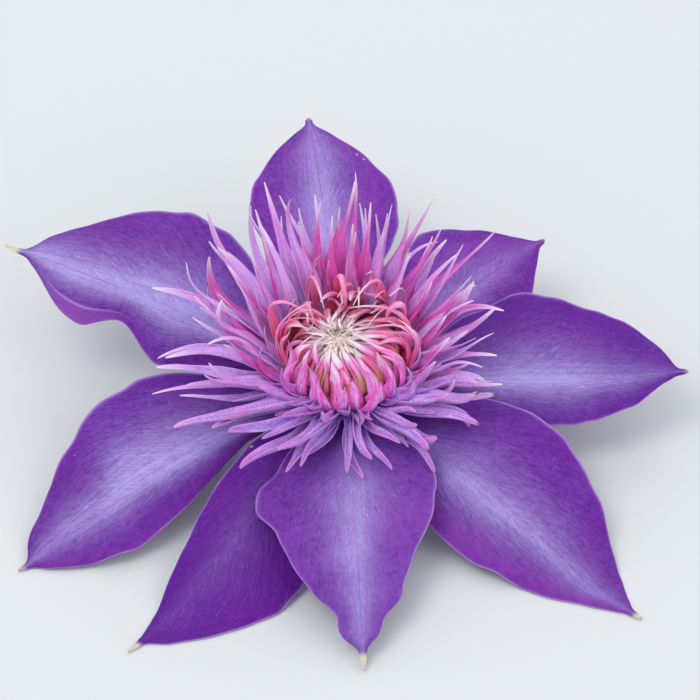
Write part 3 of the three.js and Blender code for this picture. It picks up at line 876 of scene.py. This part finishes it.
def guard_blade(whorl, azimuth, reach, tilt, hook, bias, tone):
    """A blade beside the dome, or none where the whorl runs out."""
    length = by_bearing(*whorl["length"], azimuth) * (1 + 0.45 * reach)
    if length < SHORTEST_GUARD:
        return None
    front = smooth(0.15, 0.85, -backward(azimuth))
    pitch = by_bearing(*whorl["pitch"], azimuth) + 24 * tilt
    leaving = min(pitch, 25)
    curl = by_bearing(*whorl["curl"], azimuth) * (1 + 1.4 * hook)

    def pitch_at(t):
        return leaving + (pitch - leaving) * smooth(0, 0.3, t) + curl * smooth(whorl["curl_from"], 1, t)

    if "inward" in whorl:
        marks = dict(tone=tone, inward=whorl["inward"], warm=smooth(-0.5, 0.3, backward(azimuth)))
    else:
        marks = dict(tone=tone, front=front, pink=whorl["pink"] + 0.4 * tone, dry=0.0)
    return dict(
        length=length, half=whorl["width"] / 2 * (1 + 0.4 * hook), cup=0.6 + front,
        turn=44 * bias + FAN_OUT * front * fanning(azimuth), roll=50 * bias, lumpy=LUMP_DEPTH * (1 - front),
        lumps=bias, pitch_at=pitch_at, sway=36 * tone, marks=marks,
    )


def inner_blade(whorl, azimuth, reach, tilt, bias, hook, wander, tone, twist, stray):
    """A blade that curves in over the dome, hooded in front and slender elsewhere."""
    length = by_bearing(*whorl["length"], azimuth) * (1 + 0.2 * reach)
    azimuth += whorl["stray"] * stray
    lift = 30 * tilt - whorl["stray"] * max(hook, 0) * 2
    front = smooth(-0.1, 0.6, -backward(azimuth))

    def pitch_at(t):
        front_pitch = along(whorl.get("front_pitch", whorl["pitch"]), t)
        rows = along(whorl["pitch"], t) * (1 - front) + front_pitch * front
        return rows + lift * t - 120 * hook * smooth(0.65, 1, t)

    return dict(
        azimuth=azimuth, radius=whorl["radius"] + 0.4 * whorl["sag"] * front,
        height=whorl["height"] - whorl["sag"] * front, length=length, cup=0.5, turn=20 * bias,
        roll=60 * twist, roll_at=lambda t: smooth(0.3, 1, t),
        half=whorl["width"] / 2 * (1 - 0.08 * front) * (1 + 0.3 * tone), blunt_outline=FULL_HOOD,
        blunt=front, pitch_at=pitch_at, sway=40 * wander, to_tuft=True,
        marks=dict(tone=tone, inward=whorl["inward"], warm=1 - front),
    )


def thread_blade(whorl, azimuth, reach, tilt, hook, tone, wander):
    """A fine thread inside the dome, which ends in the tuft."""

    def pitch_at(t):
        return along(whorl["pitch"], t) + 16 * tilt * t - 110 * hook * smooth(0.75, 1, t)

    return dict(
        length=whorl["length"] * (1 + 0.2 * reach), half=whorl["width"] / 2, cup=0.3, turn=40 * wander,
        roll=whorl.get("roll", 45) * hook, roll_at=lambda t: t, outline=whorl.get("outline", THREAD),
        pitch_at=pitch_at, sway=50 * wander, to_tuft=True,
        marks=dict(tone=tone, inward=whorl.get("inward", 1.0), warm=smooth(-0.5, 0.4, backward(azimuth))),
    )


def style_blade(i, sway, reach):
    """One of the carpels' silky styles."""
    ring = STYLES_WITHIN * sqrt((i + 0.5) / STYLE_COUNT)
    splay = smooth(SPLAYED_WITHIN + 0.2, SPLAYED_WITHIN - 0.2, ring) * smooth(0, 1.1, ring)

    def pitch_at(t):
        inward = 10 * ring * t + 16 * ring * smooth(0.75, 1, t)
        return STYLE_PITCH + inward * (1 - splay) - STYLE_PITCH * splay * smooth(0.72, 0.94, t)

    return dict(
        azimuth=degrees(i * pi * (3 - sqrt(5))), radius=ring, height=4.9, turn=60 * sway, roll=0, cup=0.4,
        length=(8.8 - 0.4 * ring + 1.3 * splay) * (1 + 0.3 * reach), half=0.33, outline=THREAD,
        pitch_at=pitch_at, to_tuft=True,
    )


def outer_finish(settings):
    """Lilac blades with pink margins and streaks, whitish tips behind and blue-lilac straps in front."""
    finish = Finish(
        "outer_blade", Roughness=0.45, Subsurface_Weight=0.15, Subsurface_Scale=0.0015,
        Specular_IOR_Level=0.35,
    )
    across, share = finish.across_and_along()
    out = abs(across)
    pink, tone, front, dry = finish.attributes("pink", "tone", "front", "dry")
    rear = 1.0 - front
    streaks = finish.strokes(across * 1.8, share * 2.6, tone * 60.0, 4.0, 0.68)
    lines = finish.strokes(across * 4.0, share * 5.0, tone * 90.0, 3.0, 0.6)
    mottles = finish.noise(finish.place(), 900.0)
    speckles = finish.noise(finish.place(), 3400.0, 1.0)
    paleness = lines.step(0.5, 0.7) * 0.7 + speckles.step(0.5, 0.7) * (front * 0.3 + 0.5)
    flush = out * out * 0.3 * rear + (streaks - 0.5) * 2.6 + (lines - 0.5) * 1.4 + pink * 0.5
    flush = (flush + tone * (rear * 0.7 + 0.3) + rear * 0.26 - 0.35).step(0.0, 0.9)
    flush = flush * (1.0 - share.step(0.8, 1.0) * 0.6) * (share.step(0.1, 0.45) * 0.7 + 0.3)
    lilacs = mottles * 1.2 + rear * share.step(0.0, 0.5) * 0.8 - 0.5
    body = finish.layers(
        finish.mix(lilacs, settings.lilac_blue, settings.lilac),
        (paleness, settings.pale),
        (flush * 0.8, settings.pink),
        (flush.step(0.45, 0.95) * (rear * 0.5 + 0.15), settings.magenta),
        # Dark streaks take the same colour as the painted shade at the roots.
        (lines.step(0.47, 0.34) * 0.35, settings.root_shade_and_streaks),
        (share.step(0.72, 0.95) * rear * 0.6, settings.blade_tip),
        ((share.step(0.75, 0.97) * 0.45 + out.step(0.5, 1.0) * 0.25) * front, settings.pink),
        (share.step(0.88, 1.0) * (rear * 0.6 + 0.15), settings.cream),
        # Painted shade: the blades darken towards their roots, most in front, where the straps crowd.
        (share.step(0.5, 0.1) * (front * 0.4 + 0.1), settings.root_shade_and_streaks),
        ((share + dry * 0.1).step(1.0, 1.06), settings.brown),
    )
    finish.set(Base_Color=body, Roughness=streaks * 0.2 + 0.35)
    finish.bump(lines * 0.6 + mottles * 0.4 + speckles * 0.3, 0.0002)
    return finish.material


def inner_finish(settings):
    """Incurved blades that go from pink, through coral, to cream tips, over a lining of red with brown painted
    shade at its margins.
    """
    finish = Finish(
        "inner_blade", Roughness=0.42, Subsurface_Weight=0.05, Subsurface_Scale=0.0015,
        Specular_IOR_Level=0.3, Sheen_Weight=0.25, Sheen_Roughness=0.4,
    )
    across, share = finish.across_and_along()
    out = abs(across)
    tone, inward, warm = finish.attributes("tone", "inward", "warm")
    streaks = finish.strokes(across * 2.0, share * 3.0, tone * 60.0, 4.0, 0.65)
    lines = finish.strokes(across * 4.0, share * 5.0, tone * 90.0, 3.0, 0.6)
    speckles = finish.noise(finish.place(), 3400.0, 1.0)
    ripe = share + tone * 0.3 + (streaks - 0.5) * 0.5 + (inward - 0.4) * 0.14
    lining = inward.step(1.05, 1.25)
    within = inward.step(0.2, 0.5)
    pale_from = 0.14 - within * 0.06 - tone * (within * 0.2 + 0.1)
    # The tips are cream, and keeping the cream to a blade's middle is partly a painted highlight, with the
    # pinker margins standing in for warm shade.
    pale = (ripe - pale_from).step(0.62, 0.84) * (1.0 - out.step(0.4, 1.0) * 0.6)
    pale = pale * (1.0 - lining * share.step(0.95, 0.8)) * (1.0 - (1.0 - warm) * (1.0 - within) * 0.45)
    deep = share.step(0.66, 0.36) * inward.step(0.2, 0.6) * (1.0 - warm * 0.75)
    shaded = share.step(0.7, 0.35) * warm * (1.0 - lining)
    body = finish.layers(
        # The blades are pale pink lilac along their middle and hot pink towards their margins: partly the
        # blades' own colour, partly a painted highlight on their rounded middle.
        finish.mix(out * 1.3 + (streaks - 0.5) * 3.4 + 0.3, settings.pink_lilac, settings.hot_pink),
        (ripe.step(0.3, 0.7) * (warm * 0.6 + 0.1), settings.coral),
        (lines.step(0.53, 0.66) * (warm * 0.3 + 0.1), settings.red),
        (lines.step(0.48, 0.38) * 0.6, settings.pink_lilac),
        (lines.step(0.52, 0.62) * 0.5 * (1.0 - warm), settings.magenta),
        (speckles.step(0.5, 0.7) * 0.3, settings.pale),
        (lining * 0.6, settings.red),
        (lining * share.step(0.66, 0.86), settings.pink_lilac),
        (pale + share.step(0.68, 0.88) * within, settings.cream),
        (share.step(0.8, 0.96) * within * 0.6, settings.straw),
        (deep * (0.8 - lining * (tone + 0.2)) * (streaks * 2.0), settings.khaki),
        (lines.step(0.5, 0.38) * lining * 0.6, settings.red),
        # Painted shade: the lining's margins turn brown low down, where the gaps between the threads lie in
        # shade.
        (out.step(0.3, 1.0) * lining * share.step(0.75, 0.55) * 0.8, settings.brown),
        (shaded * ((streaks - 0.5) * 1.6 + 0.55), settings.brick),
    )
    finish.set(Base_Color=body, Roughness=streaks * 0.2 + 0.34)
    finish.bump(lines, 0.00018)
    return finish.material


def plain_finish(name, colour, other):
    """A rough surface, cloudy between two colours."""
    finish = Finish(name, Roughness=0.6)
    cloudy = finish.noise(finish.place(), 500.0)
    finish.set(Base_Color=finish.mix(cloudy, colour, other))
    finish.bump(cloudy, 0.0002, 0.6)
    return finish.material


class StaminodeSettings(bpy.types.PropertyGroup):
    thickness: measure("Thickness", "Thickness of a blade", 0.00028)
    lilac_blue: tint("Lilac blue", "Coolest colour of the outer blades", (0.72, 0.56, 0.88))
    lilac: tint("Lilac", "Main colour of the outer blades", (0.87, 0.66, 0.93))
    pink: tint("Pink", "Colour of the outer blades' margins", (0.88, 0.42, 0.80))
    pale: tint("Pale", "Colour of the blades' pale lines and speckles", (0.90, 0.83, 0.97))
    # Brown is the colour of the dried tips, and also the painted shade at the lining's margins.
    brown: tint("Brown", "Colour of dried tips and of the lining's margins", (0.40, 0.26, 0.18))
    magenta: tint("Magenta", "Colour of the blades' streaks", (0.84, 0.22, 0.62))
    blade_tip: tint("Blade tip", "Colour of the outer blades' tips", (0.94, 0.84, 0.93))
    # Colour of the dark streaks and of the painted shade at the outer blades' roots.
    root_shade_and_streaks: tint("Blade root", "Colour of the outer blades' roots", (0.54, 0.38, 0.78))
    # Partly a painted highlight along the middle of the inner blades.
    pink_lilac: tint("Pink lilac", "Middle of the inner blades", (0.97, 0.80, 1.0))
    hot_pink: tint("Hot pink", "Main colour of the inner blades", (1.0, 0.42, 0.83))
    coral: tint("Coral", "Colour of the inner blades where they bend over", (1.0, 0.50, 0.62))
    red: tint("Red", "Colour of the inner blades' streaks and lining", (0.93, 0.26, 0.46))
    brick: tint("Brick red", "Colour of the inner blades' roots at the back", (1.0, 0.38, 0.36))
    cream: tint("Cream", "Colour of the blades' palest tips", (1.0, 0.92, 0.95))
    straw: tint("Straw", "Colour of the tuft's middle", (1.0, 0.93, 0.87))
    khaki: tint("Khaki", "Colour deep between the inner blades", (0.76, 0.59, 0.34))


class FLOWER_OT_staminodes(bpy.types.Operator):
    """Makes the outer and the inner staminodes with the disc and the ring that they grow from"""

    bl_idname = "flower.staminodes"
    bl_label = "Staminodes"

    def execute(self, context):
        settings = context.scene.flower_staminodes
        thickness = settings.thickness / MM

        def make_outer(bm):
            fan = blades_of(OUTER_WHORLS, outer_blade, 0.5, (17, 5), (71, 6))
            guards = blades_of(GUARD_WHORLS, guard_blade, 0.7, (53, 6))
            for blade in (*fan, *guards):
                blade_into(bm, blade)

        def make_inner(bm):
            dome = blades_of(INNER_WHORLS, inner_blade, 0.3, (29, 4), (97, 5))
            loops = blades_of(LOOP_WHORLS, guard_blade, 0.7, (59, 6))
            threads = blades_of(THREAD_WHORLS, thread_blade, 0.8, (61, 6))
            for blade in (*dome, *loops, *threads):
                blade_into(bm, blade, rows=22)

        for make, finish, name in ((make_outer, outer_finish, "outer"), (make_inner, inner_finish, "inner")):
            node = name + "_staminodes"
            new_piece(name + "_blades", make, [finish(settings)], node, [node], thickness)

        # The disc is clouded between the colour of the roots' painted shade and lilac blue.
        disc = plain_finish("disc", settings.root_shade_and_streaks, settings.lilac_blue)
        ring = plain_finish("ring", settings.red, settings.hot_pink)
        for name, profile, finish, node in (
            ("staminode_disc", DISC_PROFILE, disc, "outer_staminodes"),
            ("staminode_ring", RING_PROFILE, ring, "inner_staminodes"),
        ):

            def make(bm, profile=profile):
                for vert in core_into(bm, profile):
                    vert.co = in_frame(vert.co)

            new_piece(name, make, [finish], node, [node])
        return {"FINISHED"}


# Carpels and stalk


class FLOWER_OT_carpels(bpy.types.Operator):
    """Makes the carpels with their silky styles"""

    bl_idname = "flower.carpels"
    bl_label = "Carpels"

    def execute(self, context):
        settings = context.scene.flower_staminodes

        def make(bm):
            uv = bm.loops.layers.uv.new("blade")
            top = MOUND_PROFILE[-1][1]
            for vert in core_into(bm, MOUND_PROFILE):
                for loop in vert.link_loops:
                    loop[uv].uv = (0.5, 0.75 * vert.co.z / top)
                vert.co = in_frame(vert.co + TUFT_DRIFT * smooth(top * 0.5, top, vert.co.z))
            draw = draws(41)
            for i in range(STYLE_COUNT):
                blade_into(bm, style_blade(i, next(draw), next(draw)), columns=3, rows=8)

        finish = Finish("carpel", Roughness=0.5, Sheen_Weight=0.6)
        share = finish.across_and_along()[1]
        silky = finish.noise(finish.place(), 900.0)
        paleness = (share + silky * 0.3).step(0.5, 0.95)
        finish.set(Base_Color=finish.mix(paleness, settings.coral, settings.straw))
        finish.bump(silky, 0.0002)
        new_piece("carpel_tuft", make, [finish.material], "carpels", ["carpels"], 0.35)
        return {"FINISHED"}


class StalkSettings(bpy.types.PropertyGroup):
    green: tint("Green", "Main colour of the stalk", (0.44, 0.50, 0.22))
    brown: tint("Brown", "Tinge of the stalk", (0.46, 0.30, 0.26))
    pith: tint("Pith", "Colour of the cut end", (0.84, 0.86, 0.70))
    ridges: measure("Ridges", "Height of the stalk's six ridges", 0.00012)


def stalk_finish(settings):
    """Smooth green stalk, tinged with brown along its fibres."""
    finish = Finish("stalk", Roughness=0.5, Subsurface_Weight=0.05, Subsurface_Scale=0.001)
    place = finish.place()
    stretched = finish.node("ShaderNodeMapping", inputs={"Vector": place, "Scale": (900.0, 900.0, 90.0)})
    fibres = finish.noise(stretched, 1.0)
    finish.set(Base_Color=finish.mix(fibres.step(0.45, 0.65) * 0.6, settings.green, settings.brown))
    finish.bump(fibres, 0.0001, 0.6)
    return finish.material


class FLOWER_OT_stalk(bpy.types.Operator):
    """Makes the stub of the stalk with the receptacle"""

    bl_idname = "flower.stalk"
    bl_label = "Stalk"

    def execute(self, context):
        settings = context.scene.flower_stalk
        ridge = settings.ridges / MM

        def make(bm):
            cut = STALK_PROFILE[0][1]
            for vert in core_into(bm, [(0, cut), (STALK_RADIUS * 0.55, cut), *STALK_PROFILE], 72):
                radius = hypot(vert.co.x, vert.co.y)
                if vert.co.z < -2 and radius > STALK_RADIUS * 0.8:
                    swell = 1 + ridge / radius * cos(RIDGES * atan2(vert.co.y, vert.co.x))
                    vert.co.x *= swell
                    vert.co.y *= swell
                vert.co = in_frame(on_table(vert.co.copy(), 0))
            for face in bm.faces:
                low = all(v.co.z < 0.01 * MM for v in face.verts)
                face.material_index = 1 if low else 0

        cut_end = plain_finish("cut_end", settings.pith, settings.green)
        new_piece("stalk_stub", make, [stalk_finish(settings), cut_end], "stalk", ["stalk"])
        return {"FINISHED"}


# Stage


class StageSettings(bpy.types.PropertyGroup):
    floor_colour: tint("Floor", "Colour of the floor", (0.83, 0.84, 0.83))
    floor_side: measure("Floor side", "Length of the floor's side", 6)
    key_power: strength("Key power", "Power of the key light in watts", 2.2)
    fill_power: strength("Fill power", "Power of the fill light in watts", 1.1)
    back_power: strength("Back power", "Power of the back light in watts", 1.2)
    sky_strength: strength("Sky", "Strength of the pale surroundings", 0.92)


def area_light(name, place, power, side):
    """A round light that is aimed at the bloom."""
    data = bpy.data.lights.new(name, "AREA")
    data.energy = power
    data.shape = "DISK"
    data.size = side
    light = in_scene(name, data)
    light.location = place
    light.rotation_euler = (LIT_POINT - light.location).to_track_quat("-Z", "Y").to_euler()


class FLOWER_OT_stage(bpy.types.Operator):
    """Makes the floor, the lights and the camera at the photograph's viewing angle"""

    bl_idname = "flower.stage"
    bl_label = "Stage"

    def execute(self, context):
        settings = context.scene.flower_stage
        scene = context.scene
        bm = bmesh.new()
        bmesh.ops.create_grid(bm, x_segments=1, y_segments=1, size=settings.floor_side / 2)
        finish = Finish("floor", Roughness=0.8, Base_Color=gamma_to_linear(settings.floor_colour))
        floor = from_bmesh("floor", bm, finish.material)

        world = bpy.data.worlds.new("sky")
        world.use_nodes = True
        background = world.node_tree.nodes["Background"]
        background.inputs["Color"].default_value = gamma_to_linear((0.95, 0.96, 1.0))
        background.inputs["Strength"].default_value = settings.sky_strength
        scene.world = world
        scene.view_settings.view_transform = "Standard"

        area_light("key", (-0.35, -0.25, 0.75), settings.key_power, 0.5)
        area_light("fill", (0.6, -0.45, 0.45), settings.fill_power, 0.6)
        area_light("back", (0.15, 0.7, 0.55), settings.back_power, 0.5)

        right = Vector((1, 0, 0))
        up = Vector((0, sin(VIEW_RISE), cos(VIEW_RISE)))
        back = Vector((0, -cos(VIEW_RISE), sin(VIEW_RISE)))
        middle = PICTURE_SIDE / 2
        aim = Vector((BLOOM_X, BLOOM_Y, CLAW_HEIGHT))
        aim += right * (middle - BLOOM_PIXEL[0]) / PIXELS_PER_MM
        aim += up * (BLOOM_PIXEL[1] - middle) / PIXELS_PER_MM
        data = bpy.data.cameras.new("camera")
        data.sensor_width = SENSOR
        data.lens = SENSOR * PIXELS_PER_MM * VIEW_DISTANCE / PICTURE_SIDE
        data.clip_start = 0.05
        camera = in_scene("camera", data)
        camera.location = (aim + back * VIEW_DISTANCE) * MM
        camera.rotation_euler = (-back).to_track_quat("-Z", "Y").to_euler()
        scene.camera = camera
        return {"FINISHED"}


class FLOWER_PT_panel(bpy.types.Panel):
    """Lists the flower's operators"""

    bl_label = "Clematis Flower"
    bl_space_type = "VIEW_3D"
    bl_region_type = "UI"
    bl_category = "Flower"

    def draw(self, context):
        for operator in OPERATORS:
            self.layout.operator(operator.bl_idname)


OPERATORS = (FLOWER_OT_stage, FLOWER_OT_tepals, FLOWER_OT_staminodes, FLOWER_OT_carpels, FLOWER_OT_stalk)
SETTINGS = {
    "flower_tepals": TepalSettings,
    "flower_staminodes": StaminodeSettings,
    "flower_stalk": StalkSettings,
    "flower_stage": StageSettings,
}


def register():
    for kind in (*SETTINGS.values(), *OPERATORS, FLOWER_PT_panel):
        bpy.utils.register_class(kind)
    for name, kind in SETTINGS.items():
        setattr(bpy.types.Scene, name, bpy.props.PointerProperty(type=kind))


def unregister():
    for name in SETTINGS:
        delattr(bpy.types.Scene, name)
    for kind in reversed((*SETTINGS.values(), *OPERATORS, FLOWER_PT_panel)):
        bpy.utils.unregister_class(kind)


def main():
    register()
    bpy.ops.flower.stage()
    bpy.ops.flower.tepals()
    bpy.ops.flower.staminodes()
    bpy.ops.flower.carpels()
    bpy.ops.flower.stalk()


if __name__ == "__main__":
    main()
